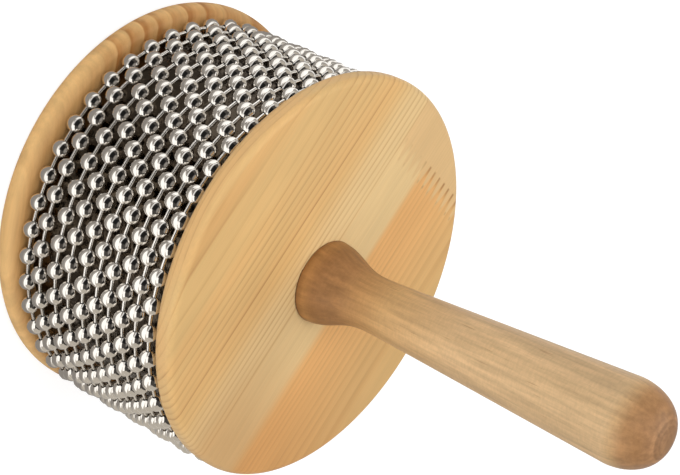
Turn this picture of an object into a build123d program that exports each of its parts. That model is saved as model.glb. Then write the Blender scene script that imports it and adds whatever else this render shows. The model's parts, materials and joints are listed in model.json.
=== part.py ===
"""Cabasa: a drum of two wooden discs with ten slack loops of ball chain, on a turned handle.

Units are millimetres. The drum stands on its bottom disc with its axis on +Z and the handle up. The origin is
the middle of the bottom disc's outer face. -Y is the side that the slack loops hang towards.
"""
from math import cos, radians, sin
import os

from build123d import *

# Discs
DISC_R = 63.0
DISC_T = 8.2
RIM_ROUND = 3.9
GAP = 56.4  # between the two discs' inner faces

# Drum core and the sheet wrapped on it
SLEEVE_R = 55.0
SHEET_T = 0.5
SHEET_FIT = 0.05  # slack between the sheet and what it touches
GROOVE_DEPTH = 1.5  # the sheet's edges are let into the discs
LAP_WIDTH = 10.0
LAP_END = 0.6  # the lap stops this far short of each disc
TACK_COUNT = 5
TACK_R = 0.5
TACK_LENGTH = 9.0
TACK_HEAD_R = 1.5
TACK_HEAD_T = 0.5

# Chain loops
BALL_R = 2.5
BALL_COUNT = 45
LINK_R = 0.45
LINK_PLAY = 0.02  # between a link's end and the ball that it enters
LOOP_R = 59.7
LOOP_HANG = 1.8  # the loops are longer than the drum's girth, so they hang off its axis
FIRST_LOOP = 2.95  # from the bottom disc's inner face to the first loop
LOOP_STEPS = (5.3, 6.6, 5.6, 6.0, 5.5, 5.3, 5.6, 5.3, 5.3)  # from loop to loop, unevenly spread as they lie
FIRST_TURN = 6.0
LOOP_SLIP = 0.144  # degrees that each loop lags behind an even half-pitch stagger

# Handle: radii, and heights above the top disc's face
COLLAR_FOOT_R = 12.1
COLLAR_R = 12.45
COLLAR_H = 3.4
FLARE_R = 8.65
FLARE_H = 14.2
WAIST_R = 7.9
WAIST_H = 21.2
GRIP_R = 10.0
GRIP_H = 54.0
SWELL_R = 12.65
SWELL_H = 98.0
SHOULDER_R = 10.15
SHOULDER_H = 112.2
BUTT_R = 3.4
HANDLE_L = 118.0
HANDLE_LEAN = 1.63
LEAN_TOWARDS = 60.0  # degrees from +X
TRIM = 2.0  # the collar starts this far below the face and is cut off flush
TENON_R = 8.0
TENON_INTO_CORE = 10.0
TENON_FIT = 0.05
TENON_CHAMFER = 0.8

# Tie bolt, washer and threaded insert
BOLT_R = 2.95
BOLT_LENGTH = 64.0
BOLT_HOLE_R = 3.3
HEAD_ACROSS_FLATS = 10.0
HEAD_T = 4.0
WASHER_R = 6.0
WASHER_T = 1.6
RECESS_R = 8.0
RECESS_DEPTH = 6.0
INSERT_R = 4.5
INSERT_LENGTH = 13.0
INSERT_BORE_R = 3.0

# Worked out from the above
BOTTOM_INNER = DISC_T
TOP_INNER = DISC_T + GAP
TOP_FACE = TOP_INNER + DISC_T
CORE_R = SLEEVE_R - SHEET_T - SHEET_FIT
TENON_END = TOP_INNER - TENON_INTO_CORE
LAP_R = SLEEVE_R + SHEET_T
FROM_BOTTOM = (Align.CENTER, Align.CENTER, Align.MIN)
FROM_TOP = (Align.CENTER, Align.CENTER, Align.MAX)

os.makedirs("parts", exist_ok=True)


def save(piece, name):
    """Label a finished piece and write it under its own name."""
    piece.label = name
    export_step(piece, f"parts/{name}.step")


def tack_spots():
    """Places on the lap seam, each with its local Z pointing out of the drum."""
    pitch = GAP / TACK_COUNT
    heights = [BOTTOM_INNER + pitch * (i + 0.5) for i in range(TACK_COUNT)]
    return [Location((0, -LAP_R, height), (90, 0, 0)) for height in heights]


# Bottom disc: groove for the sheet, sunk bolt head
with BuildPart() as bottom_disc:
    Cylinder(DISC_R, DISC_T, align=FROM_BOTTOM)
    fillet(bottom_disc.edges().filter_by(GeomType.CIRCLE), RIM_ROUND)
    with BuildSketch(Plane.XY.offset(BOTTOM_INNER)):
        Circle(SLEEVE_R + SHEET_FIT)
        Circle(CORE_R, mode=Mode.SUBTRACT)
    extrude(amount=-GROOVE_DEPTH, mode=Mode.SUBTRACT)
    with Locations(Plane.XY.rotated((180, 0, 0))):
        CounterBoreHole(BOLT_HOLE_R, RECESS_R, RECESS_DEPTH, depth=DISC_T)
save(bottom_disc.part, "bottom_disc")

# Top disc: groove for the sheet, hole for the handle's tenon
with BuildPart(Plane.XY.offset(TOP_INNER)) as top_disc:
    Cylinder(DISC_R, DISC_T, align=FROM_BOTTOM)
    fillet(top_disc.edges().filter_by(GeomType.CIRCLE), RIM_ROUND)
    with BuildSketch(Plane.XY.offset(TOP_INNER)):
        Circle(SLEEVE_R + SHEET_FIT)
        Circle(CORE_R, mode=Mode.SUBTRACT)
    extrude(amount=GROOVE_DEPTH, mode=Mode.SUBTRACT)
    Cylinder(TENON_R + TENON_FIT, DISC_T, align=FROM_BOTTOM, mode=Mode.SUBTRACT)
save(top_disc.part, "top_disc")

# Drum core: bolt hole, socket for the tenon, tack holes
with BuildPart(Plane.XY.offset(BOTTOM_INNER)) as drum_core:
    Cylinder(CORE_R, GAP, align=FROM_BOTTOM)
    Cylinder(BOLT_HOLE_R, GAP, align=FROM_BOTTOM, mode=Mode.SUBTRACT)
    with Locations((0, 0, GAP)):
        Cylinder(TENON_R + TENON_FIT, TENON_INTO_CORE, align=FROM_TOP, mode=Mode.SUBTRACT)
with BuildPart() as tacked_core:
    add(drum_core.part)
    with Locations(*tack_spots()):
        Cylinder(TACK_R + SHEET_FIT, TACK_LENGTH + SHEET_FIT, align=FROM_TOP, mode=Mode.SUBTRACT)
save(tacked_core.part, "drum_core")

# Scraper sleeve: rolled sheet with a lapped seam on the -Y side
with BuildPart() as scraper_sleeve:
    with BuildSketch(Plane.XY.offset(BOTTOM_INNER - GROOVE_DEPTH + SHEET_FIT)):
        Circle(SLEEVE_R)
        Circle(SLEEVE_R - SHEET_T, mode=Mode.SUBTRACT)
    extrude(amount=GAP + 2 * (GROOVE_DEPTH - SHEET_FIT))
    with BuildSketch(Plane.XY.offset(BOTTOM_INNER + LAP_END)):
        Circle(LAP_R)
        Circle(SLEEVE_R - SHEET_T, mode=Mode.SUBTRACT)
        with Locations((0, -LAP_R)):
            Rectangle(LAP_WIDTH, LAP_R, mode=Mode.INTERSECT)
    extrude(amount=GAP - 2 * LAP_END)
    with Locations(*tack_spots()):
        Cylinder(TACK_R + SHEET_FIT, 4 * SHEET_T, mode=Mode.SUBTRACT)
save(scraper_sleeve.part, "scraper_sleeve")

# Tacks along the seam, flat heads outside
with BuildPart() as sleeve_tacks:
    with Locations(*tack_spots()):
        Cylinder(TACK_R, TACK_LENGTH, align=FROM_TOP)
        Cylinder(TACK_HEAD_R, TACK_HEAD_T, align=FROM_BOTTOM)
save(sleeve_tacks.part, "sleeve_tacks")

# Bolt, washer and insert on the drum's axis
with BuildPart() as bolt_washer:
    with BuildSketch(Plane.XY.offset(RECESS_DEPTH)):
        Circle(WASHER_R)
        Circle(BOLT_HOLE_R, mode=Mode.SUBTRACT)
    extrude(amount=-WASHER_T)
save(bolt_washer.part, "bolt_washer")

HEAD_TOP = RECESS_DEPTH - WASHER_T
with BuildPart() as tie_bolt:
    with BuildSketch(Plane.XY.offset(HEAD_TOP)):
        RegularPolygon(HEAD_ACROSS_FLATS / 2, 6, major_radius=False)
    extrude(amount=-HEAD_T)
    with Locations((0, 0, HEAD_TOP)):
        Cylinder(BOLT_R, BOLT_LENGTH, align=FROM_BOTTOM)
    tip = tie_bolt.edges().filter_by(GeomType.CIRCLE).sort_by(Axis.Z)[-1]
    chamfer(tip, TENON_CHAMFER)
save(tie_bolt.part, "tie_bolt")

with BuildPart(Plane.XY.offset(TENON_END)) as handle_insert:
    Cylinder(INSERT_R, INSERT_LENGTH, align=FROM_BOTTOM)
    Cylinder(INSERT_BORE_R, INSERT_LENGTH, align=FROM_BOTTOM, mode=Mode.SUBTRACT)
save(handle_insert.part, "handle_insert")

# Handle: a turned grip that leans a little, on a tenon that is square to the disc
side = Vector(-sin(radians(LEAN_TOWARDS)), cos(radians(LEAN_TOWARDS)), 0)
grip_axis = Vector(0, 0, 1).rotate(Axis((0, 0, 0), side), HANDLE_LEAN)
foot = Vector(0, 0, TOP_FACE)
with BuildPart() as handle:
    with BuildSketch(Plane(foot, x_dir=side, z_dir=side.cross(grip_axis))):
        with BuildLine():
            Polyline((0, HANDLE_L), (0, -TRIM), (COLLAR_FOOT_R, -TRIM), (COLLAR_FOOT_R, 0))
            Spline(
                (COLLAR_FOOT_R, 0),
                (COLLAR_R, COLLAR_H),
                (FLARE_R, FLARE_H),
                (WAIST_R, WAIST_H),
                tangents=((0.1, 1), (0, 1)),
            )
            Spline(
                (WAIST_R, WAIST_H),
                (GRIP_R, GRIP_H),
                (SWELL_R, SWELL_H),
                tangents=((0, 1), (0, 1)),
            )
            Spline(
                (SWELL_R, SWELL_H),
                (SHOULDER_R, SHOULDER_H),
                (BUTT_R, HANDLE_L),
                tangents=((0, 1), (-1, 0.15)),
            )
            Line((BUTT_R, HANDLE_L), (0, HANDLE_L))
        make_face()
    revolve(axis=Axis(foot, grip_axis))
    split(bisect_by=Plane.XY.offset(TOP_FACE), keep=Keep.TOP)
    with Locations((0, 0, TENON_END)):
        Cylinder(TENON_R, TOP_FACE - TENON_END, align=FROM_BOTTOM)
        tenon_rim = handle.edges().filter_by(GeomType.CIRCLE).sort_by(Axis.Z)[0]
        chamfer(tenon_rim, TENON_CHAMFER)
        Cylinder(INSERT_R, INSERT_LENGTH, align=FROM_BOTTOM, mode=Mode.SUBTRACT)
        Cylinder(BOLT_HOLE_R, TOP_FACE - TENON_END, align=FROM_BOTTOM, mode=Mode.SUBTRACT)
save(handle.part, "handle")

# Chain loops: balls joined by short links, each loop staggered half a pitch from the one below
pitch_angle = 360 / BALL_COUNT
link_length = 2 * LOOP_R * sin(radians(pitch_angle / 2))
link_orbit = LOOP_R * cos(radians(pitch_angle / 2))
height = BOTTOM_INNER + FIRST_LOOP
turn = FIRST_TURN
for number, step in enumerate((*LOOP_STEPS, 0), start=1):
    loop_plane = Plane((0, -LOOP_HANG, height)).rotated((0, 0, turn))
    with BuildPart(loop_plane) as chain_balls:
        with PolarLocations(LOOP_R, BALL_COUNT):
            Sphere(BALL_R)
    save(chain_balls.part, f"chain_balls_{number:02}")
    with BuildPart(loop_plane) as chain_links:
        with PolarLocations(link_orbit, BALL_COUNT, start_angle=pitch_angle / 2):
            Cylinder(LINK_R, link_length, rotation=(90, 0, 0))
        with PolarLocations(LOOP_R, BALL_COUNT):
            Sphere(BALL_R + LINK_PLAY, mode=Mode.SUBTRACT)
    save(chain_links.part, f"chain_links_{number:02}")
    height += step
    turn -= pitch_angle / 2 + LOOP_SLIP
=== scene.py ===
"""Cabasa: pine discs, a turned handle, a steel scraper sleeve and ten loops of nickel ball chain.

Objects are in metres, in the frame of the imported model, where the drum stands on its bottom disc with
its handle up. Wood grain is worked out in millimetres, because growth rings are easier to read so.
"""
import json
from math import cos, pi, radians, sin, tau
from typing import NamedTuple

import bmesh
import bpy
from bpy.props import FloatProperty, FloatVectorProperty, PointerProperty
from mathutils import Matrix, Vector
import numpy as np


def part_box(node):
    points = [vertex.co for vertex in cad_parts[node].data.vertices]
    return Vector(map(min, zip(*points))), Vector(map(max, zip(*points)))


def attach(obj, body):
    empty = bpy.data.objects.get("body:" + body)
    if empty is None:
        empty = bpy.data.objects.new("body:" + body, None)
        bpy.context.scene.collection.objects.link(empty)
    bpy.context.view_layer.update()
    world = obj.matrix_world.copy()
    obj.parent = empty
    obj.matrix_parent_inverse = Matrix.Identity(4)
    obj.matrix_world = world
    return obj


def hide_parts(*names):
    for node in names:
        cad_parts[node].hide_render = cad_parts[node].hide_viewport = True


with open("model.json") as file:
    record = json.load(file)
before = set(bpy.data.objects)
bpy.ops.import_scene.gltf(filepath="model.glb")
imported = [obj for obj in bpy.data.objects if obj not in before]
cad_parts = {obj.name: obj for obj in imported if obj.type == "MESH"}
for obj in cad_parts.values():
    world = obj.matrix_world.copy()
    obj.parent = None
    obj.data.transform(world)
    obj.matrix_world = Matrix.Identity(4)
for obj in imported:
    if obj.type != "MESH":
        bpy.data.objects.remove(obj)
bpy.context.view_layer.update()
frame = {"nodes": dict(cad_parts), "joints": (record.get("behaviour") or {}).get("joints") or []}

bl_info = {
    "name": "Cabasa",
    "version": (1, 0, 0),
    "blender": (4, 5, 0),
    "location": "3D View > Sidebar > Cabasa",
    "description": "Models and finishes a cabasa round its packed frame",
    "category": "Object",
}

MM = 0.001
DRUM_BODY = "drum_and_handle"

# Discs, in metres. A round is the width and the height of a rounded edge.
RIM_ROUND = (2.9 * MM, 3.9 * MM)
CHAIN_SIDE_ROUND = (6.0 * MM, 4.2 * MM)
FACE_SIDE_ROUND = (2.2 * MM, 2.0 * MM)
TOP_DISC_TRIM = 0.2 * MM
RIM_STEPS = 8
DISC_STEPS = 192
ARRIS = 0.3 * MM
TENON_HOLE_R = 8.05 * MM
BOLT_HOLE_R = 3.3 * MM
RECESS_R = 8.0 * MM
RECESS_DEPTH = 6.0 * MM
GROOVE_DEPTH = 1.5 * MM

# Sleeve, in metres
SLEEVE_R = 55.0 * MM
SHEET_T = 0.5 * MM
SHEET_FIT = 0.05 * MM
SLEEVE_STEPS = 180
LAP_WIDTH = 10.0 * MM
LAP_END = 0.6 * MM
LAP_STEPS = 6
DIMPLE_SIZE = 4.0  # in millimetres, as all grain is

# Handle: its axis leans off the drum's, and heights along it start at the top disc's face
HANDLE_LEAN = radians(1.63)
LEAN_TOWARDS = radians(60.0)
HANDLE_STEPS = 64
NECK_H = 40.0 * MM
SWELL_H = 104.0 * MM
HANDLE_L = 118.05 * MM
TAPER_STEPS = 72
DOME_STEPS = 16
DOME_POWER = 0.83  # 1 is an ellipse, and less is blunter
COLLAR_FLARE = 5.4 * MM
COLLAR_REACH = 11.2 * MM
COLLAR_POWER = 2.3
FOOT_EASE = 0.35 * MM
FOOT_FLARE = 0.35 * MM
FOOT_REACH = 3.0 * MM
FOOT_INSET = 4.2 * MM
TENON_LENGTH = 18.2 * MM
BORE_INSET = 3.4 * MM
BORE_DEPTH = 13.0 * MM

# Chain, in metres and radians
BALL_COUNT = 45
BORE_R = 0.72 * MM
BALL_STEPS = 14
BALL_ARCS = 8
LOOP_R = 59.55 * MM
LINK_SIDES = 8
LINK_REACH = 0.7 * MM  # how far a link's end stands inside a ball
FIRST_TURN = radians(6.0)
LOOP_SLIP = radians(0.144)
PITCH_ANGLE = tau / BALL_COUNT
CROWN = 0.42  # how far a ball's shine is turned away from the sleeve behind it


def srgb(red, green, blue):
    """A colour as it looks on a screen, 0 to 255, in the linear values that shaders use."""
    shares = [value / 255 for value in (red, green, blue)]
    return tuple(s / 12.92 if s <= 0.04045 else ((s + 0.055) / 1.055) ** 2.4 for s in shares)


def colour(name, description, *screen):
    """A colour that a user can change, given as it looks on a screen."""
    return FloatVectorProperty(
        name=name, description=description, subtype="COLOR", size=3, min=0, max=1, default=srgb(*screen)
    )


def length(name, description, default):
    """A length in metres that a user can change."""
    return FloatProperty(name=name, description=description, default=default, unit="LENGTH", precision=4)


def angle(name, description, degrees):
    """An angle that a user can change, given in degrees."""
    return FloatProperty(name=name, description=description, default=radians(degrees), unit="ROTATION")


def share(name, description, default):
    """A number from 0 to 1 that a user can change."""
    return FloatProperty(
        name=name, description=description, default=default, min=0, max=1, subtype="FACTOR"
    )


def power(name, default):
    """A lamp's strength in watts, which a user can change."""
    return FloatProperty(name=name, description="Strength", default=default, unit="POWER")


class CabasaSizes(bpy.types.PropertyGroup):
    """Sizes of the chain, the handle and the sleeve's dimples."""

    ball: length("Ball", "Radius of the chain's balls", 2.64 * MM)
    link: length("Link", "Radius of the chain's links", 0.6 * MM)
    neck: length("Neck", "Radius of the handle at its neck", 9.1 * MM)
    swell: length("Swell", "Radius of the handle where it is thickest", 12.45 * MM)
    dimples: length("Dimples", "Depth of the dimples in the sleeve", 0.4 * MM)


class CabasaWood(bpy.types.PropertyGroup):
    """Colours of the two pine discs and of the handle."""

    pine_pale: colour("Pale pine", "Early wood of the boards", 224, 185, 124)
    pine_straw: colour("Straw pine", "Plain strip beside the glue line", 235, 202, 146)
    pine_orange: colour("Orange pine", "Broad warm bands", 240, 182, 115)
    pine_line: colour("Pine line", "Late wood, the dark lines of the growth rings", 186, 128, 72)
    pine_pink: colour("Pink pine", "Short length above the finger joint", 230, 192, 137)
    pine_gum: colour("Gum", "Dark tips of the finger joint", 164, 106, 54)
    # Painted shade: a darker wood tone for the chain's shadow on the bottom disc's upper edge
    chain_shade: colour("Chain shade", "Painted shade on the wood beside the chain", 150, 93, 42)
    bottom_pale: colour("Bottom pale", "Early wood of the bottom disc", 241, 195, 129)
    bottom_line: colour("Bottom line", "Late wood of the bottom disc", 196, 136, 74)
    grip: colour("Grip", "Long-grain wood of the handle", 216, 180, 133)
    collar: colour("Collar", "End-grain wood round the collar", 156, 111, 66)
    butt: colour("Butt", "End-grain wood at the handle's end", 180, 134, 88)
    gloss: share("Lacquer gloss", "Strength of the clear lacquer's shine", 0.35)


class CabasaMetal(bpy.types.PropertyGroup):
    """Colours and polish of the chain, the sleeve and the fasteners."""

    nickel: colour("Nickel", "Plating of the balls", 234, 229, 222)
    link: colour("Link", "Drawn wire of the links", 250, 246, 240)
    # The sleeve's colour is far darker than bare steel, as painted shade for the dark gaps between the
    # balls
    sleeve: colour("Sleeve", "Sheet steel of the scraper", 78, 69, 58)
    fastener: colour("Fastener", "Zinc plating of bolt, washer and tacks", 186, 186, 182)
    brass: colour("Brass", "Threaded insert in the handle", 201, 168, 96)
    polish: share("Ball roughness", "Roughness of the polished balls", 0.03)


class CabasaStage(bpy.types.PropertyGroup):
    """Camera, lamps and floor."""

    aim: FloatVectorProperty(
        name="Aim",
        description="Point that the camera looks at",
        subtype="XYZ",
        unit="LENGTH",
        default=(0.03542, -0.00315, 0.04908),
    )
    distance: length("Distance", "From the camera to its aim", 0.609)
    azimuth: angle("Azimuth", "Bearing of the camera from its aim, from +X", 152.804)
    elevation: angle("Elevation", "Height of the camera above its aim", 33.775)
    roll: angle("Roll", "Turn of the camera about its line of sight", 116.015)
    lens: FloatProperty(name="Lens", description="Focal length", default=103.09, unit="CAMERA")
    overhead: power("Overhead lamp", 2.2)
    side: power("Side lamp", 3.4)
    front: power("Front lamp", 7.2)
    ambient: share("Ambient", "Level of the light from all round", 0.36)
    floor: length("Floor", "Width of the floor", 8.0)


# Meshes

SHARP = 30.0  # edges sharper than this many degrees aren't smoothed
CHAIN_SHARP = 60.0
MERGE_GAP = 1e-6
CUT_GAP = 1e-7
UPRIGHT = {"cent": (0, 0, 0), "axis": (0, 0, 1), "dvec": (0, 0, 0)}


def new_piece(name, shape, sharp=SHARP):
    """Turn a finished bmesh into an object, smooth but for its sharp edges."""
    mesh = bpy.data.meshes.new(name)
    shape.to_mesh(mesh)
    shape.free()
    mesh.shade_smooth()
    mesh.set_sharp_from_angle(angle=radians(sharp))
    piece = bpy.data.objects.new(name, mesh)
    bpy.context.scene.collection.objects.link(piece)
    return piece


def put_on(piece, material, body, slot, *nodes):
    """Give a piece its finish and its place in the frame: what it rides on, and what it stands for."""
    piece.data.materials.append(material)
    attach(piece, body)
    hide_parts(*nodes)


def finish_node(name, material):
    """Give a CAD node that stays a better finish."""
    frame["nodes"][name].material_slots[0].material = material


def merge(shape):
    """Close the seams of a mesh and turn its faces outwards."""
    bmesh.ops.remove_doubles(shape, verts=shape.verts[:], dist=MERGE_GAP)
    bmesh.ops.recalc_face_normals(shape, faces=shape.faces[:])


def spun(outline, steps, turn=tau):
    """Spin a closed outline of (radius, height) points about the upright axis."""
    shape = bmesh.new()
    corners = [shape.verts.new((radius, 0, height)) for radius, height in outline]
    for corner, following in zip(corners, corners[1:] + corners[:1]):
        shape.edges.new((corner, following))
    section = shape.verts[:] + shape.edges[:]
    whole = turn == tau
    bmesh.ops.spin(shape, geom=section, angle=turn, steps=steps, use_merge=whole, **UPRIGHT)
    if not whole:
        bmesh.ops.holes_fill(shape, edges=shape.edges[:], sides=0)
    merge(shape)
    return shape


def band(inner, outer, low, high):
    """The outline of a plain ring."""
    return [(inner, low), (outer, low), (outer, high), (inner, high)]


def arc(radius, start, end, steps):
    """Points on an arc about the origin, from one angle in degrees to another."""
    turns = [radians(start + (end - start) * i / steps) for i in range(steps + 1)]
    return [(radius * cos(turn), radius * sin(turn)) for turn in turns]


def rounded_edge(outer, level, size, start):
    """A quarter round of the given (width, height), which is widest at a level."""
    width, height = size
    quarter = arc(1, start, start + 90, RIM_STEPS)
    return [(outer - width + width * out, level + height * up) for out, up in quarter]


def rounded_rim(low, high, outer, lower, upper):
    """The rim of a disc from its lower face round to its upper one, with a round at each edge."""
    lower_edge = rounded_edge(outer, low + lower[1], lower, -90)
    return lower_edge + rounded_edge(outer, high - upper[1], upper, 0)


def sleeve_groove(face, bottom):
    """The groove that holds the sleeve's edge, from its outer wall inwards."""
    outer, inner = SLEEVE_R + SHEET_FIT, SLEEVE_R - SHEET_T - SHEET_FIT
    return [(outer, face), (outer, bottom), (inner, bottom), (inner, face)]


# Finishes

NOISE_LOW, NOISE_HIGH = 0.2, 0.8  # noise hardly goes beyond these
NEUTRAL = 0.5  # the level at which an even tone leaves a colour as it is


class Nodes:
    """A node tree while it is being put together."""

    def __init__(self, tree):
        self.tree = tree

    def feed(self, socket, value):
        """Link another node's output to a socket, or leave a plain value on it."""
        if isinstance(value, bpy.types.NodeSocket):
            self.tree.links.new(value, socket)
        elif socket.type == "RGBA" and len(value) == 3:
            socket.default_value = (*value, 1)
        else:
            socket.default_value = value

    def node(self, kind, sockets, **settings):
        """Add a node with its settings, and feed its sockets by name or number."""
        node = self.tree.nodes.new("ShaderNode" + kind)
        for setting, value in settings.items():
            setattr(node, setting, value)
        for socket, value in sockets.items():
            self.feed(node.inputs[socket], value)
        return node

    def show(self, shader):
        """Link a shader to the tree's output."""
        output = next(node for node in self.tree.nodes if node.bl_idname.startswith("ShaderNodeOutput"))
        self.feed(output.inputs["Surface"], shader)

    def sum(self, operation, *values):
        """One step of arithmetic."""
        return self.node("Math", dict(enumerate(values)), operation=operation).outputs[0]

    def split(self, place):
        """The three parts of a place."""
        return self.node("SeparateXYZ", {"Vector": place}).outputs[:]

    def ramp(self, value, *stops):
        """A colour that follows a value through (place, colour) stops in rising order."""
        ramp = self.node("ValToRGB", {"Fac": value})
        elements = ramp.color_ramp.elements
        elements[0].position, elements[1].position = stops[0][0], stops[-1][0]
        for place, _ in stops[1:-1]:
            elements.new(place)
        for element, (_, tint) in zip(elements, stops):
            element.color = (*tint, 1)
        return ramp.outputs["Color"]

    def mix(self, amount, first, second, blend="MIX"):
        """Mix two colours."""
        sockets = {0: amount, 6: first, 7: second}
        return self.node("Mix", sockets, data_type="RGBA", blend_type=blend).outputs[2]


class Finish(Nodes):
    """A procedural material while it is being put together."""

    def __init__(self, name, **sockets):
        self.material = bpy.data.materials.new(name)
        self.material.use_nodes = True
        super().__init__(self.material.node_tree)
        self.shader = self.tree.nodes["Principled BSDF"]
        self.surface(**sockets)

    def surface(self, **sockets):
        """Feed the shader's sockets, named with underscores for spaces."""
        for socket, value in sockets.items():
            self.feed(self.shader.inputs[socket.replace("_", " ")], value)

    def vector(self, operation, *values):
        """One step of arithmetic with vectors."""
        return self.node("VectorMath", dict(enumerate(values)), operation=operation).outputs[0]

    def local(self, origin=(0, 0, 0), turn=(0, 0, 0)):
        """Object coordinates in millimetres, seen from an origin in metres and turned with it."""
        place = self.node("TexCoord", {}).outputs["Object"]
        sockets = {"Vector": place, "Location": origin, "Rotation": turn, "Scale": (MM, MM, MM)}
        return self.node("Mapping", sockets, vector_type="TEXTURE").outputs["Vector"]

    def stretch(self, place, *sizes):
        """Coordinates in which a length of each size, in millimetres, counts as one."""
        return self.node("Mapping", {"Vector": place, "Scale": [1 / s for s in sizes]}).outputs["Vector"]

    def noise(self, place, detail=2.0, roughness=0.5):
        """Cloudy noise, one blob to a unit of the coordinates."""
        sockets = {"Vector": place, "Scale": 1.0, "Detail": detail, "Roughness": roughness}
        return self.node("TexNoise", sockets).outputs[0]

    def fade(self, value, start, end, low=0.0, high=1.0):
        """A smooth change from low to high as the value goes from start to end."""
        sockets = {"Value": value, "From Min": start, "From Max": end, "To Min": low, "To Max": high}
        return self.node("MapRange", sockets, interpolation_type="SMOOTHSTEP").outputs[0]

    def levels(self, value, *stops):
        """A level that follows a value through (place, level) stops in rising order."""
        return self.ramp(value, *[(place, (level,) * 3) for place, level in stops])

    def away(self, aside, beyond):
        """How far a spot is from an axis, from its two offsets."""
        squares = [self.sum("POWER", offset, 2.0) for offset in (aside, beyond)]
        return self.sum("SQRT", self.sum("ADD", *squares))

    def tone(self, base, amount, low, high):
        """Make a colour darker and lighter by noise or by a level like it."""
        level = self.fade(amount, NOISE_LOW, NOISE_HIGH, low, high)
        grey = self.node("CombineColor", {0: level, 1: level, 2: level}).outputs[0]
        return self.mix(1.0, base, grey, "MULTIPLY")

    def bump(self, height, depth):
        """Raise the surface by a height from 0 to 1, of the given depth in metres."""
        sockets = {"Height": height, "Distance": depth, "Strength": 1.0}
        self.surface(Normal=self.node("Bump", sockets).outputs["Normal"])


class Board(NamedTuple):
    """A sawn board: where its tree's heart lay, in millimetres, and how its rings lie round that."""

    heart_across: float
    heart_height: float
    ring: float  # width of a ring near the heart
    late: float  # share of each ring that is darker late wood
    contrast: float
    seed: float
    squeeze: float = 0.0  # how much closer the rings come with each millimetre outwards
    accent: int = -1  # a ring that stands out, or -1 for none


RING_SWAY = 3.6  # width of the band that a ring wanders in, in millimetres
RING_EDGE = 0.05  # share of a ring in which the last one's late wood dies away
LATE_PEAK = 0.93  # share of a ring at which its late wood is darkest


def growth_rings(finish, grain, board):
    """How dark the late wood of a board is at each spot: 0 in early wood, and more where it is darker."""
    across, _, height = finish.split(grain)
    aside = finish.sum("SUBTRACT", across, board.heart_across)
    above = finish.sum("SUBTRACT", height, board.heart_height)
    sway = finish.noise(finish.stretch(grain, 30, 130, 30), detail=1.0)
    sway = finish.sum("MULTIPLY_ADD", sway, RING_SWAY, -RING_SWAY / 2)
    out = finish.sum("ADD", finish.away(aside, above), sway)
    squeeze = finish.sum("MULTIPLY", finish.sum("POWER", out, 2.0), board.squeeze)
    count = finish.sum("ADD", finish.sum("MULTIPLY_ADD", out, 1 / board.ring, board.seed), squeeze)
    begin = LATE_PEAK - LATE_PEAK * board.late
    late = finish.levels(
        finish.sum("FRACT", count),
        (0.0, 0.25),
        (RING_EDGE, 0.0),
        (begin + RING_EDGE, 0.02),
        ((begin + LATE_PEAK) / 2, 0.38),
        (LATE_PEAK, 1.0),
        (1.0, 0.25),
    )
    ring = finish.sum("FLOOR", count)
    strength = finish.node("TexWhiteNoise", {"W": ring}, noise_dimensions="1D").outputs["Value"]
    strength = finish.sum("MULTIPLY_ADD", strength, 0.55, 0.45)
    accent = finish.sum("MULTIPLY", finish.sum("COMPARE", ring, board.accent, 0.5), 1.2)
    strength = finish.sum("MAXIMUM", strength, accent)
    patches = finish.noise(finish.stretch(grain, 3, 40, 3), detail=1.0)
    strength = finish.sum("MULTIPLY", strength, finish.fade(patches, 0.25, 0.75, 0.7, 1.15))
    return finish.sum("MULTIPLY", finish.sum("MULTIPLY", late, strength), board.contrast)


# The top disc's boards. Across and along are measured from the drum's axis, in millimetres.
TOP_GRAIN = radians(-38.7)
TOP_FACE = 72.8
LEFT_BOARD = Board(-58.0, TOP_FACE - 21.0, ring=2.0, late=0.5, contrast=0.6, seed=0.15, accent=19)
STRIP_BOARD = Board(-80.0, TOP_FACE - 60.0, ring=2.4, late=0.8, contrast=0.09, seed=0.6)
RIGHT_BOARD = Board(58.0, TOP_FACE - 25.0, ring=10.0, late=0.7, contrast=0.36, seed=0.4, squeeze=0.005)
UPPER_BOARD = Board(-90.0, TOP_FACE - 50.0, ring=1.3, late=0.8, contrast=0.12, seed=0.1)
GLUE_LINE = -4.6
THIN_LINES = (-48, -26)  # the left board's lines broaden from the first place across to the second
STRAW_FADE = (-22, -10)
# Painted shade: the right-hand boards darken at their low end, where less light falls
SHADED_LOW_END = (-58, -8)  # the right-hand boards darken from the second place along to the first
SHADED_LOW_SIDE = (-22, -2)
STRIP_EDGE = 12.9
STRIP_SOFTENS = (-45, 20)
WARM_FADE = (STRIP_EDGE + 4, STRIP_EDGE + 44)
FINGER_ROOT = 42.5
FINGER_LENGTH = 6.0
FINGER_PITCH = 3.77
FINGER_START = 13.9
FINGERS_SHOW = (8, 17)

# The bottom disc's board, whose rings are spaced by their squeeze alone
BOTTOM_GRAIN = radians(-3.5)
BOTTOM_BOARD = Board(43.0, 4.0, ring=1e6, late=0.95, contrast=1.3, seed=0.376, squeeze=0.001455)
PLAIN_EDGE = (-40, -33)
# Heights in millimetres over which the bottom disc's upper edge darkens, as painted shade from the chain
CHAIN_SHADE_HEIGHTS = (4.8, 8.4)


def pine_lacquer(finish, grain, base, late, gloss):
    """Fibres, roughness and relief that all the pine shares."""
    fibres = finish.noise(finish.stretch(grain, 0.45, 14, 0.45), detail=3.0)
    clouds = finish.noise(finish.stretch(grain, 12, 45, 12))
    base = finish.tone(base, fibres, 0.955, 1.035)
    base = finish.tone(base, clouds, 0.95, 1.04)
    rough = finish.fade(fibres, NOISE_LOW, NOISE_HIGH, 0.42, 0.55)
    finish.surface(Base_Color=base, Roughness=rough, Specular_IOR_Level=gloss)
    relief = finish.sum("MULTIPLY_ADD", fibres, 0.35, finish.sum("MULTIPLY", late, 0.65))
    finish.bump(relief, 0.03 * MM)


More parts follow.
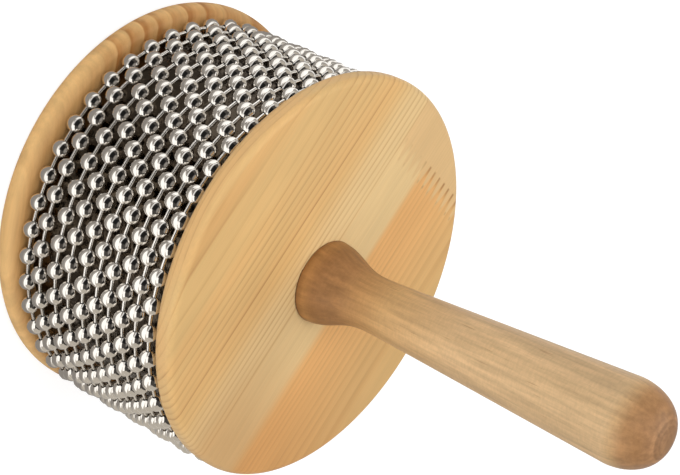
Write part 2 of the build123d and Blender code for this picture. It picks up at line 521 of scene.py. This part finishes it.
def left_board(finish, grain, wood):
    """The wide board left of the glue line: its colour, and how dark its late wood is."""
    across, _, _ = finish.split(grain)
    late = growth_rings(finish, grain, LEFT_BOARD)
    late = finish.sum("POWER", late, finish.fade(across, *THIN_LINES, 2.2, 1.0))
    late = finish.sum("MULTIPLY", late, finish.fade(across, *THIN_LINES, 2.1, 1.1))
    warmth = finish.noise(finish.stretch(grain, 9, 120, 9), detail=1.0)
    base = finish.mix(finish.fade(warmth, 0.35, 0.7, 0.0, 0.35), wood.pine_pale, wood.pine_orange)
    base = finish.mix(finish.fade(across, *STRAW_FADE), base, wood.pine_straw)
    return finish.mix(late, base, wood.pine_line), late


def right_board(finish, grain, wood):
    """The board right of the glue line: a plain strip that gives way to warm wood with wide rings."""
    across, along, _ = finish.split(grain)
    right = finish.mix(finish.fade(across, *WARM_FADE, 0.9, 0.2), wood.pine_pale, wood.pine_orange)
    right = finish.mix(growth_rings(finish, grain, RIGHT_BOARD), right, wood.pine_line)
    strip = finish.mix(growth_rings(finish, grain, STRIP_BOARD), wood.pine_straw, wood.pine_line)
    softness = finish.fade(along, *STRIP_SOFTENS, 3.2, 1.7)
    edge = finish.sum("DIVIDE", finish.sum("SUBTRACT", across, STRIP_EDGE), softness)
    return finish.mix(finish.fade(edge, -1, 1), strip, right)


def finger_joint(finish, grain, lower, upper, gum):
    """Join two lengths of board by tapered fingers, with dark gum at their tips and roots."""
    across, along, _ = finish.split(grain)
    tooth = finish.sum("PINGPONG", finish.sum("SUBTRACT", across, FINGER_START), FINGER_PITCH / 2)
    tooth = finish.sum("DIVIDE", tooth, FINGER_PITCH / 2)
    above = finish.sum("SUBTRACT", along, FINGER_ROOT)
    past = finish.sum("MULTIPLY_ADD", finish.fade(tooth, 0.1, 0.9), -FINGER_LENGTH, above)
    joined = finish.mix(finish.fade(past, -2.4, 1.4), lower, upper)
    rise = finish.fade(above, FINGER_LENGTH - 4.5, FINGER_LENGTH - 0.4)
    fall = finish.fade(above, FINGER_LENGTH, FINGER_LENGTH + 0.6, 1.0, 0.0)
    tip = finish.sum("MULTIPLY", finish.sum("MULTIPLY", rise, fall), finish.fade(tooth, 0.55, 0.95))
    notch = finish.fade(finish.sum("ABSOLUTE", above), 0.2, 0.9, 0.5, 0.0)
    root = finish.sum("MULTIPLY", notch, finish.fade(tooth, 0.05, 0.35, 1.0, 0.0))
    uneven = finish.noise(finish.stretch(grain, 2.6, 40, 40), detail=1.0)
    dark = finish.sum("MAXIMUM", tip, root)
    dark = finish.sum("MULTIPLY", dark, finish.fade(uneven, 0.35, 0.62, 0.15, 1.0))
    dark = finish.sum("MULTIPLY", dark, finish.fade(across, *FINGERS_SHOW, 0.25, 0.75))
    return finish.mix(dark, joined, gum)


def top_pine(wood):
    """Edge-glued pine with a finger joint in the right-hand board."""
    finish = Finish("top_pine_boards")
    grain = finish.local(turn=(0, 0, TOP_GRAIN))
    across, along, _ = finish.split(grain)
    left, left_late = left_board(finish, grain, wood)
    upper = finish.mix(growth_rings(finish, grain, UPPER_BOARD), wood.pine_pink, wood.pine_line)
    right = finger_joint(finish, grain, right_board(finish, grain, wood), upper, wood.pine_gum)
    base = finish.mix(finish.fade(across, GLUE_LINE - 0.2, GLUE_LINE + 0.2), left, right)
    # Painted shade: the right-hand boards darken towards the late-wood colour at their low end
    low_end_shade = finish.fade(along, *SHADED_LOW_END, 0.46, 0.0)
    low_end_shade = finish.sum("MULTIPLY", low_end_shade, finish.fade(across, *SHADED_LOW_SIDE))
    base = finish.mix(low_end_shade, base, wood.pine_line)
    from_glue = finish.sum("ABSOLUTE", finish.sum("SUBTRACT", across, GLUE_LINE))
    base = finish.mix(finish.fade(from_glue, 0.1, 0.5, 0.3, 0.0), base, wood.pine_line)
    pine_lacquer(finish, grain, base, left_late, wood.gloss)
    return finish.material


def bottom_pine(wood):
    """Wide-ringed pine, sawn flat, with painted shade from the chain darkening its upper edge."""
    finish = Finish("bottom_pine_board")
    grain = finish.local(turn=(0, 0, BOTTOM_GRAIN))
    across, _, height = finish.split(grain)
    late = growth_rings(finish, grain, BOTTOM_BOARD)
    late = finish.sum("MULTIPLY", late, finish.fade(across, *PLAIN_EDGE, 0.12, 1.0))
    streaks = finish.noise(finish.stretch(grain, 1.5, 80, 6))
    base = finish.mix(late, wood.bottom_pale, wood.bottom_line)
    base = finish.tone(base, streaks, 0.86, 1.07)
    # Painted shade: the upper edge, in the chain's shadow, darkens towards the chain shade colour
    base = finish.mix(finish.fade(height, *CHAIN_SHADE_HEIGHTS, 0.0, 0.47), base, wood.chain_shade)
    pine_lacquer(finish, grain, base, late, wood.gloss)
    return finish.material


def core_wood(wood):
    """Plain pine of the hidden core."""
    finish = Finish("core_pine")
    grain = finish.local()
    late = growth_rings(finish, grain, STRIP_BOARD)
    pine_lacquer(finish, grain, finish.mix(late, wood.pine_pale, wood.pine_line), late, wood.gloss)
    return finish.material


# The handle's wood, in millimetres
TINT_LENGTH = 118.0  # height that the colours run over
END_GRAIN = (112.5, 115.5)  # heights between which the end's rings come in
END_RINGS_R = 20.0  # radius that the end's rings are given over, as (share, level)
END_RINGS = (
    (0.0, NEUTRAL),
    (0.17, NEUTRAL),
    (0.2, 0.3),
    (0.23, 0.6),
    (0.275, 0.25),
    (0.31, 0.95),
    (0.35, NEUTRAL),
    (1.0, NEUTRAL),
)


def handle_wood(wood, foot, lean):
    """Close-grained hardwood, darker where the turning cuts across the grain, with a painted shadow line
    at its foot.
    """
    finish = Finish("turned_handle", Specular_IOR_Level=wood.gloss)
    place = finish.local(origin=foot, turn=lean)
    aside, beyond, height = finish.split(place)
    base = finish.ramp(
        finish.sum("DIVIDE", height, TINT_LENGTH),
        # Painted shadow: a thin dark line where the foot meets the disc
        (0.0, srgb(96, 62, 32)),
        (0.004, srgb(150, 104, 58)),
        (0.02, srgb(174, 126, 74)),
        (0.045, wood.collar),
        (0.10, srgb(164, 119, 73)),
        (0.16, srgb(191, 147, 96)),
        (0.24, srgb(210, 170, 117)),
        (0.45, wood.grip),
        (0.89, wood.grip),
        (0.915, srgb(201, 160, 112)),
        (0.935, wood.butt),
        (0.965, srgb(168, 123, 80)),
        (1.0, srgb(161, 121, 86)),
    )
    streaks = finish.noise(finish.stretch(place, 1.3, 1.3, 30), detail=4.0, roughness=0.6)
    flecks = finish.noise(finish.stretch(place, 1.6, 1.6, 0.6))
    bands = finish.noise(finish.stretch(place, 3.5, 3.5, 70))
    pores = finish.noise(finish.stretch(place, 0.6, 0.6, 12), detail=1.0)
    base = finish.tone(base, streaks, 0.8, 1.13)
    base = finish.tone(base, flecks, 0.93, 1.05)
    base = finish.tone(base, bands, 0.87, 1.1)
    base = finish.mix(finish.fade(pores, 0.68, 0.8, 0.0, 0.45), base, wood.collar)
    rings = finish.levels(finish.sum("DIVIDE", finish.away(aside, beyond), END_RINGS_R), *END_RINGS)
    swing = finish.sum("SUBTRACT", rings, NEUTRAL)
    rings = finish.sum("MULTIPLY_ADD", swing, finish.fade(height, *END_GRAIN), NEUTRAL)
    base = finish.tone(base, rings, 0.84, 1.16)
    finish.surface(Base_Color=base, Roughness=finish.fade(streaks, NOISE_LOW, NOISE_HIGH, 0.4, 0.52))
    finish.bump(streaks, 0.02 * MM)
    return finish.material


def polished_nickel(metal):
    """Plated balls with faint handling marks, whose shine is turned outwards by the crown."""
    finish = Finish("polished_nickel", Metallic=1.0)
    place = finish.local()
    haze = finish.noise(finish.stretch(place, 1.4, 1.4, 1.4), detail=3.0)
    rough = finish.fade(haze, 0.3, 0.75, metal.polish * 0.7, metal.polish * 1.5)
    outward = finish.vector("NORMALIZE", finish.vector("MULTIPLY", place, (1, 1, 0)))
    turned = {"vector_type": "NORMAL", "convert_from": "OBJECT", "convert_to": "WORLD"}
    outward = finish.node("VectorTransform", {0: outward}, **turned).outputs[0]
    plain = finish.node("NewGeometry", {}).outputs["Normal"]
    bent = finish.vector("MULTIPLY_ADD", outward, (CROWN, CROWN, CROWN), plain)
    finish.surface(
        Base_Color=finish.tone(metal.nickel, haze, 0.96, 1.03),
        Roughness=rough,
        Normal=finish.vector("NORMALIZE", bent),
    )
    return finish.material


def drawn_metal(name, tint, low, high, sizes, relief=0.004 * MM):
    """Metal with a grain of the given sizes in millimetres, raised by a relief in metres."""
    finish = Finish(name, Metallic=1.0)
    grain = finish.noise(finish.stretch(finish.local(), *sizes), detail=3.0)
    rough = finish.fade(grain, 0.25, 0.75, low, high)
    finish.surface(Base_Color=finish.tone(tint, grain, 0.9, 1.05), Roughness=rough)
    finish.bump(grain, relief)
    return finish.material


# Pieces


class CABASA_OT_top_disc(bpy.types.Operator):
    """Model the top disc, with the handle's hole and the sleeve's groove"""

    bl_idname = "cabasa.top_disc"
    bl_label = "Top disc"

    def execute(self, context):
        low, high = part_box("top_disc")
        outer = high.x - TOP_DISC_TRIM
        outline = [(TENON_HOLE_R, high.z), (TENON_HOLE_R, low.z)]
        outline += sleeve_groove(low.z, low.z + GROOVE_DEPTH)[::-1]
        outline += rounded_rim(low.z, high.z, outer, CHAIN_SIDE_ROUND, FACE_SIDE_ROUND)
        disc = new_piece("top_disc_panel", spun(outline, DISC_STEPS))
        put_on(disc, top_pine(context.scene.cabasa_wood), DRUM_BODY, "top_pine", "top_disc")
        return {"FINISHED"}


class CABASA_OT_bottom_disc(bpy.types.Operator):
    """Model the bottom disc, with the bolt's recess and the sleeve's groove"""

    bl_idname = "cabasa.bottom_disc"
    bl_label = "Bottom disc"

    def execute(self, context):
        low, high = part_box("bottom_disc")
        seat = low.z + RECESS_DEPTH
        outline = [(BOLT_HOLE_R, high.z), (BOLT_HOLE_R, seat), (RECESS_R, seat)]
        outline += [(RECESS_R, low.z + ARRIS), (RECESS_R + ARRIS, low.z)]
        outline += rounded_rim(low.z, high.z, high.x, RIM_ROUND, RIM_ROUND)
        outline += sleeve_groove(high.z, high.z - GROOVE_DEPTH)
        disc = new_piece("bottom_disc_panel", spun(outline, DISC_STEPS))
        put_on(disc, bottom_pine(context.scene.cabasa_wood), DRUM_BODY, "bottom_pine", "bottom_disc")
        return {"FINISHED"}


def cut_flush(shape, foot):
    """Cut off what is below a point, close the cut and ease its edge."""
    everything = shape.verts[:] + shape.edges[:] + shape.faces[:]
    cut = bmesh.ops.bisect_plane(
        shape, geom=everything, dist=CUT_GAP, plane_co=foot, plane_no=(0, 0, 1), clear_inner=True
    )
    rim = [item for item in cut["geom_cut"] if isinstance(item, bmesh.types.BMEdge)]
    bmesh.ops.holes_fill(shape, edges=rim, sides=0)
    bmesh.ops.recalc_face_normals(shape, faces=shape.faces[:])
    bmesh.ops.bevel(
        shape, geom=rim, offset=FOOT_EASE, segments=2, profile=0.5, affect="EDGES", material=-1
    )


def sink(shape, face, inset, depth):
    """Inset a face and push its middle down, or up by a negative depth. Returns the moved face."""
    bmesh.ops.inset_region(shape, faces=[face], thickness=inset, use_even_offset=True)
    made = bmesh.ops.extrude_face_region(shape, geom=[face])["geom"]
    end = next(item for item in made if isinstance(item, bmesh.types.BMFace))
    bmesh.ops.translate(shape, verts=end.verts[:], vec=(0, 0, -depth))
    bmesh.ops.delete(shape, geom=[face], context="FACES_ONLY")
    return end


class CABASA_OT_handle(bpy.types.Operator):
    """Turn the handle on its leaning axis, and cut its foot flush with the disc"""

    bl_idname = "cabasa.handle"
    bl_label = "Handle"

    def execute(self, context):
        foot = Vector((0, 0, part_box("top_disc")[1].z))
        lean = Matrix.Rotation(HANDLE_LEAN, 4, Vector((-sin(LEAN_TOWARDS), cos(LEAN_TOWARDS), 0)))
        outline = self.turned_outline(context.scene.cabasa_sizes)
        below = (outline[0][0], -2 * FOOT_INSET)
        shape = spun([(0, below[1]), below, *outline], HANDLE_STEPS)
        bmesh.ops.transform(shape, matrix=Matrix.Translation(foot) @ lean, verts=shape.verts[:])
        cut_flush(shape, foot)
        underside = min(shape.faces, key=lambda face: face.calc_center_median().z)
        tenon = sink(shape, underside, FOOT_INSET, TENON_LENGTH)
        sink(shape, tenon, BORE_INSET, -BORE_DEPTH)
        bmesh.ops.recalc_face_normals(shape, faces=shape.faces[:])
        handle = new_piece("handle_turned", shape)
        material = handle_wood(context.scene.cabasa_wood, foot, lean.to_euler())
        put_on(handle, material, DRUM_BODY, "handle_wood", "handle")
        return {"FINISHED"}

    @staticmethod
    def turned_outline(sizes):
        """The grip as (radius, height) points: a straight taper, a flared collar and a dome."""
        heights = np.linspace(0, SWELL_H, TAPER_STEPS)
        radii = sizes.neck + (heights - NECK_H) * (sizes.swell - sizes.neck) / (SWELL_H - NECK_H)
        radii += COLLAR_FLARE * np.exp(-((heights / COLLAR_REACH) ** COLLAR_POWER))
        radii += FOOT_FLARE * np.exp(-heights / FOOT_REACH)
        turns = np.linspace(0, pi / 2, DOME_STEPS + 1)[1:-1]
        dome_heights = SWELL_H + (HANDLE_L - SWELL_H) * np.sin(turns)
        dome_radii = sizes.swell * np.cos(turns) ** DOME_POWER
        outline = list(zip(np.append(radii, dome_radii), np.append(heights, dome_heights)))
        return outline + [(0, HANDLE_L)]


class CABASA_OT_sleeve(bpy.types.Operator):
    """Roll the scraper sleeve, with its lapped seam"""

    bl_idname = "cabasa.sleeve"
    bl_label = "Scraper sleeve"

    def execute(self, context):
        low, high = (corner.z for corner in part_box("scraper_sleeve"))
        shape = spun(band(SLEEVE_R - SHEET_T, SLEEVE_R, low, high), SLEEVE_STEPS)
        sheet = bpy.data.meshes.new("sheet")
        shape.to_mesh(sheet)
        shape.free()
        shape = self.lap(low + GROOVE_DEPTH + LAP_END, high - GROOVE_DEPTH - LAP_END)
        shape.from_mesh(sheet)
        bpy.data.meshes.remove(sheet)
        sleeve = new_piece("sleeve_sheet", shape)
        # The sleeve's dark tint is painted shade for the gaps between the balls
        tint, depth = context.scene.cabasa_metal.sleeve, context.scene.cabasa_sizes.dimples
        material = drawn_metal("polished_sleeve", tint, 0.1, 0.16, (DIMPLE_SIZE,) * 3, depth)
        put_on(sleeve, material, DRUM_BODY, "sleeve_steel", "scraper_sleeve")
        return {"FINISHED"}

    @staticmethod
    def lap(low, high):
        """The second layer of sheet along the seam, which faces -Y."""
        turn = LAP_WIDTH / SLEEVE_R
        shape = spun(band(SLEEVE_R, SLEEVE_R + SHEET_T, low, high), LAP_STEPS, turn)
        start = Matrix.Rotation(-pi / 2 - turn / 2, 4, "Z")
        bmesh.ops.transform(shape, matrix=start, verts=shape.verts[:])
        return shape


def chain_loops():
    """For each loop: its number as written, its body, and the matrix that puts its ring in place."""
    for index, joint in enumerate(frame["joints"]):
        turn = FIRST_TURN - index * (PITCH_ANGLE / 2 + LOOP_SLIP)
        middle = Matrix.Translation(joint["pos_m"])
        yield f"{index + 1:02}", joint["child"], middle @ Matrix.Rotation(turn, 4, "Z")


def ringed(shape, matrix):
    """Repeat a shape round a loop, then put the loop in its place."""
    bmesh.ops.spin(
        shape,
        geom=shape.verts[:] + shape.edges[:] + shape.faces[:],
        angle=tau - PITCH_ANGLE,
        steps=BALL_COUNT - 1,
        use_duplicate=True,
        **UPRIGHT,
    )
    bmesh.ops.transform(shape, matrix=matrix, verts=shape.verts[:])
    return shape


class CABASA_OT_chain_balls(bpy.types.Operator):
    """Model the bored balls of all the chain loops"""

    bl_idname = "cabasa.chain_balls"
    bl_label = "Chain balls"

    def execute(self, context):
        radius = context.scene.cabasa_sizes.ball
        material = polished_nickel(context.scene.cabasa_metal)
        mouth = np.degrees(np.arcsin(BORE_R / radius))
        outline = arc(radius, mouth - 90, 90 - mouth, BALL_ARCS)
        along_loop = Matrix.Translation((LOOP_R, 0, 0)) @ Matrix.Rotation(pi / 2, 4, "X")
        for number, body, matrix in chain_loops():
            ball = spun(outline, BALL_STEPS)
            bmesh.ops.transform(ball, matrix=along_loop, verts=ball.verts[:])
            piece = new_piece(f"chain_beads_{number}", ringed(ball, matrix), CHAIN_SHARP)
            put_on(piece, material, body, "ball_nickel", f"chain_balls_{number}")
        return {"FINISHED"}


class CABASA_OT_chain_links(bpy.types.Operator):
    """Model the wire links between the balls"""

    bl_idname = "cabasa.chain_links"
    bl_label = "Chain links"

    def execute(self, context):
        sizes = context.scene.cabasa_sizes
        material = drawn_metal("drawn_wire", context.scene.cabasa_metal.link, 0.2, 0.28, (4, 4, 4))
        gap = 2 * LOOP_R * sin(PITCH_ANGLE / 2) - 2 * sizes.ball
        orbit = LOOP_R * cos(PITCH_ANGLE / 2)
        half_step = Matrix.Rotation(PITCH_ANGLE / 2, 4, "Z")
        between = half_step @ Matrix.Translation((orbit, 0, 0)) @ Matrix.Rotation(pi / 2, 4, "X")
        for number, body, matrix in chain_loops():
            link = bmesh.new()
            bmesh.ops.create_cone(
                link,
                cap_ends=True,
                segments=LINK_SIDES,
                radius1=sizes.link,
                radius2=sizes.link,
                depth=gap + 2 * LINK_REACH,
                matrix=between,
            )
            piece = new_piece(f"chain_wires_{number}", ringed(link, matrix), CHAIN_SHARP)
            put_on(piece, material, body, "link_steel", f"chain_links_{number}")
        return {"FINISHED"}


class CABASA_OT_inner_parts(bpy.types.Operator):
    """Finish the pieces that stay as they are in CAD: core, bolt, washer, tacks and insert"""

    bl_idname = "cabasa.inner_parts"
    bl_label = "Core and fasteners"

    def execute(self, context):
        metal = context.scene.cabasa_metal
        zinc = drawn_metal("zinc_plate", metal.fastener, 0.25, 0.42, (0.8, 0.8, 0.8))
        for name in ("sleeve_tacks", "tie_bolt", "bolt_washer"):
            finish_node(name, zinc)
        finish_node("handle_insert", drawn_metal("turned_brass", metal.brass, 0.2, 0.35, (3, 3, 0.3)))
        finish_node("drum_core", core_wood(context.scene.cabasa_wood))
        return {"FINISHED"}


# Stage, in metres

LAMP_AIM = (0.0, 0.0, 0.06)
FLOOR_DROP = 0.1 * MM
CARD_DROP = 0.05 * MM
SENSOR_WIDTH = 36.0  # in millimetres, as the lens is
CLIP_START = 0.01
FLOOR_PAPER = (0.8, 0.8, 0.8)
FLOOR_PALE = (0.4, 0.4, 0.4)
FLOOR_GLOW = 0.78


class Lamp(NamedTuple):
    """A soft lamp that faces the drum."""

    place: tuple
    width: float
    height: float


class Card(NamedTuple):
    """A studio card that only polished metal shows."""

    width: float
    height: float
    place: tuple
    tint: tuple


LAMPS = {
    "overhead": Lamp((0.30, 0.14, 0.80), 0.5, 0.5),
    "side": Lamp((-0.95, -0.55, 0.42), 0.5, 0.6),
    "front": Lamp((-0.62, 0.60, 0.95), 1.0, 1.0),
}
BACKDROP = (1.0, 1.0, 1.0)
WHITE = (1.35, 1.33, 1.3)
WARM = (0.55, 0.51, 0.45)
GREY = (0.42, 0.40, 0.37)
DIM = (0.30, 0.28, 0.26)
DUSK = (0.07, 0.065, 0.06)
BLACK = (0.015, 0.015, 0.015)

# The cards below the frame's zero lie flat, a hair above the floor, and the others face the drum
CARDS = {
    "near_card": Card(0.21, 0.21, (0, 0, -CARD_DROP / 3), GREY),
    "rim_card": Card(0.165, 0.165, (0, 0, -CARD_DROP / 4), DIM),
    "back_card": Card(2.4, 1.0, (0, 0.66, -CARD_DROP), GREY),
    "back_window": Card(0.22, 0.42, (-0.03, 0.36, -CARD_DROP / 2), WHITE),
    "left_card": Card(0.30, 0.30, (-0.26, -0.02, -CARD_DROP / 2), WHITE),
    "corner_card": Card(0.40, 0.40, (-0.28, 0.30, -CARD_DROP / 2), DIM),
    "left_window": Card(0.80, 0.235, (-0.877, -0.170, 0.15), WHITE),
    "front_card": Card(1.6, 0.8, (0, -0.50, -CARD_DROP), WARM),
    "front_screen": Card(1.5, 0.6, (-0.22, -0.90, 0.30), WARM),
    "right_screen": Card(0.7, 0.36, (0.52, 0.65, 0.20), WARM),
    "overhead_window": Card(0.50, 0.50, (0.42, 0.36, 0.66), WHITE),
    "camera_flag": Card(0.9, 0.58, (-0.562, 0.562, 0.463), BLACK),
    "front_flag": Card(0.60, 0.50, (-0.18, -0.36, 0.82), BLACK),
}
STUDIO_SKY = ((0.06, BACKDROP), (0.14, DUSK), (0.74, DUSK), (0.83, DIM))  # from the horizon up


def facing(place):
    """The turn that points a lamp or a card at the drum."""
    return (Vector(LAMP_AIM) - Vector(place)).to_track_quat("-Z", "Y").to_euler()


def stage_finish(piece, name):
    """Give a piece of the stage a material with no shader yet, and return its nodes."""
    material = bpy.data.materials.new(name)
    material.use_nodes = True
    piece.data.materials.append(material)
    tree = material.node_tree
    tree.nodes.remove(tree.nodes["Principled BSDF"])
    return Nodes(tree)


def seen_rays(nodes):
    """1 for the rays that show a background: straight, mirrored, or through glass."""
    path = nodes.node("LightPath", {}).outputs
    either = nodes.sum("MAXIMUM", path["Is Camera Ray"], path["Is Glossy Ray"])
    return nodes.sum("MAXIMUM", either, path["Is Transmission Ray"])


class CABASA_OT_stage(bpy.types.Operator):
    """Set up the floor, the soft light and the camera"""

    bl_idname = "cabasa.stage"
    bl_label = "Stage"

    def execute(self, context):
        stage = context.scene.cabasa_stage
        self.floor(stage)
        self.surroundings(context.scene, stage)
        for name, lamp in LAMPS.items():
            self.lamp(context.scene, f"{name}_lamp", lamp, getattr(stage, name))
        self.camera(context.scene, stage)
        for name, card in CARDS.items():
            self.card(name, card)
        context.scene.view_settings.view_transform = "Standard"
        return {"FINISHED"}

    @staticmethod
    def floor(stage):
        """A white floor that keeps a soft shadow."""
        shape = bmesh.new()
        bmesh.ops.create_grid(shape, x_segments=1, y_segments=1, size=stage.floor / 2)
        bmesh.ops.translate(shape, verts=shape.verts[:], vec=(0, 0, -FLOOR_DROP))
        floor = new_piece("floor", shape)
        nodes = stage_finish(floor, "white_floor")
        paper = nodes.node("BsdfDiffuse", {"Color": FLOOR_PAPER}).outputs[0]
        pale = nodes.node("BsdfDiffuse", {"Color": FLOOR_PALE}).outputs[0]
        glow = nodes.node("Emission", {"Strength": FLOOR_GLOW}).outputs[0]
        bright = nodes.node("AddShader", {0: pale, 1: glow}).outputs[0]
        either = nodes.node("MixShader", {0: seen_rays(nodes), 1: paper, 2: bright})
        nodes.show(either.outputs[0])

    @staticmethod
    def surroundings(scene, stage):
        """White behind the object, a dark studio in polished metal, and even light on all else."""
        world = bpy.data.worlds.new("studio")
        scene.world = world
        world.use_nodes = True
        nodes = Nodes(world.node_tree)
        even = world.node_tree.nodes["Background"]
        nodes.feed(even.inputs["Color"], BACKDROP)
        nodes.feed(even.inputs["Strength"], stage.ambient)
        _, _, height = nodes.split(nodes.node("TexCoord", {}).outputs["Generated"])
        mirrored = nodes.node("LightPath", {}).outputs["Is Glossy Ray"]
        sight = nodes.mix(mirrored, BACKDROP, nodes.ramp(height, *STUDIO_SKY))
        seen = nodes.node("Background", {"Color": sight}).outputs[0]
        either = nodes.node("MixShader", {0: seen_rays(nodes), 1: even.outputs[0], 2: seen})
        nodes.show(either.outputs[0])

    @staticmethod
    def lamp(scene, name, lamp, strength):
        """A soft lamp that lights the drum but isn't seen, also not in polished metal."""
        data = bpy.data.lights.new(name, "AREA")
        data.shape = "RECTANGLE"
        data.size, data.size_y = lamp.width, lamp.height
        data.energy = strength
        light = bpy.data.objects.new(name, data)
        light.location = lamp.place
        light.rotation_euler = facing(lamp.place)
        light.visible_camera = light.visible_glossy = False
        scene.collection.objects.link(light)

    @staticmethod
    def card(name, card):
        """A card of even brightness that polished metal shows and nothing else does."""
        shape = bmesh.new()
        bmesh.ops.create_grid(shape, x_segments=1, y_segments=1, size=0.5)
        bmesh.ops.scale(shape, vec=(card.width, card.height, 1), verts=shape.verts[:])
        piece = new_piece(name, shape)
        piece.location = card.place
        if card.place[2] > 0:
            piece.rotation_euler = facing(card.place)
        piece.visible_camera = piece.visible_diffuse = piece.visible_shadow = False
        piece.visible_transmission = piece.visible_volume_scatter = False
        nodes = stage_finish(piece, name)
        nodes.show(nodes.node("Emission", {"Color": card.tint}).outputs[0])

    @staticmethod
    def sight_line(stage):
        """The direction from the aim to the camera."""
        flat = cos(stage.elevation)
        return Vector((flat * cos(stage.azimuth), flat * sin(stage.azimuth), sin(stage.elevation)))

    def camera(self, scene, stage):
        """The camera, rolled as the object lies in the picture."""
        data = bpy.data.cameras.new("camera")
        data.lens = stage.lens
        data.sensor_width = SENSOR_WIDTH
        data.sensor_fit = "HORIZONTAL"
        data.clip_start = CLIP_START
        camera = bpy.data.objects.new("camera", data)
        back = self.sight_line(stage)
        camera.location = Vector(stage.aim) + back * stage.distance
        level = (-back).to_track_quat("-Z", "Y").to_matrix().to_4x4()
        camera.rotation_euler = (level @ Matrix.Rotation(stage.roll, 4, "Z")).to_euler()
        scene.collection.objects.link(camera)
        scene.camera = camera


class CABASA_PT_sidebar(bpy.types.Panel):
    """Lists the pieces in the order in which they are made"""

    bl_label = "Cabasa"
    bl_space_type = "VIEW_3D"
    bl_region_type = "UI"
    bl_category = "Cabasa"

    def draw(self, context):
        for operator in OPERATORS:
            self.layout.operator(operator.bl_idname)


SETTINGS = {
    "cabasa_sizes": CabasaSizes,
    "cabasa_wood": CabasaWood,
    "cabasa_metal": CabasaMetal,
    "cabasa_stage": CabasaStage,
}
OPERATORS = (
    CABASA_OT_stage,
    CABASA_OT_bottom_disc,
    CABASA_OT_sleeve,
    CABASA_OT_chain_links,
    CABASA_OT_chain_balls,
    CABASA_OT_top_disc,
    CABASA_OT_handle,
    CABASA_OT_inner_parts,
)


def register():
    for settings in SETTINGS.values():
        bpy.utils.register_class(settings)
    for name, settings in SETTINGS.items():
        setattr(bpy.types.Scene, name, PointerProperty(type=settings))
    for operator in OPERATORS:
        bpy.utils.register_class(operator)
    bpy.utils.register_class(CABASA_PT_sidebar)


def unregister():
    bpy.utils.unregister_class(CABASA_PT_sidebar)
    for operator in reversed(OPERATORS):
        bpy.utils.unregister_class(operator)
    for name in SETTINGS:
        delattr(bpy.types.Scene, name)
    for settings in reversed(SETTINGS.values()):
        bpy.utils.unregister_class(settings)


def main():
    """Make the whole cabasa and its stage."""
    register()
    for operator in OPERATORS:
        group, name = operator.bl_idname.split(".")
        getattr(getattr(bpy.ops, group), name)()


if __name__ == "__main__":
    main()
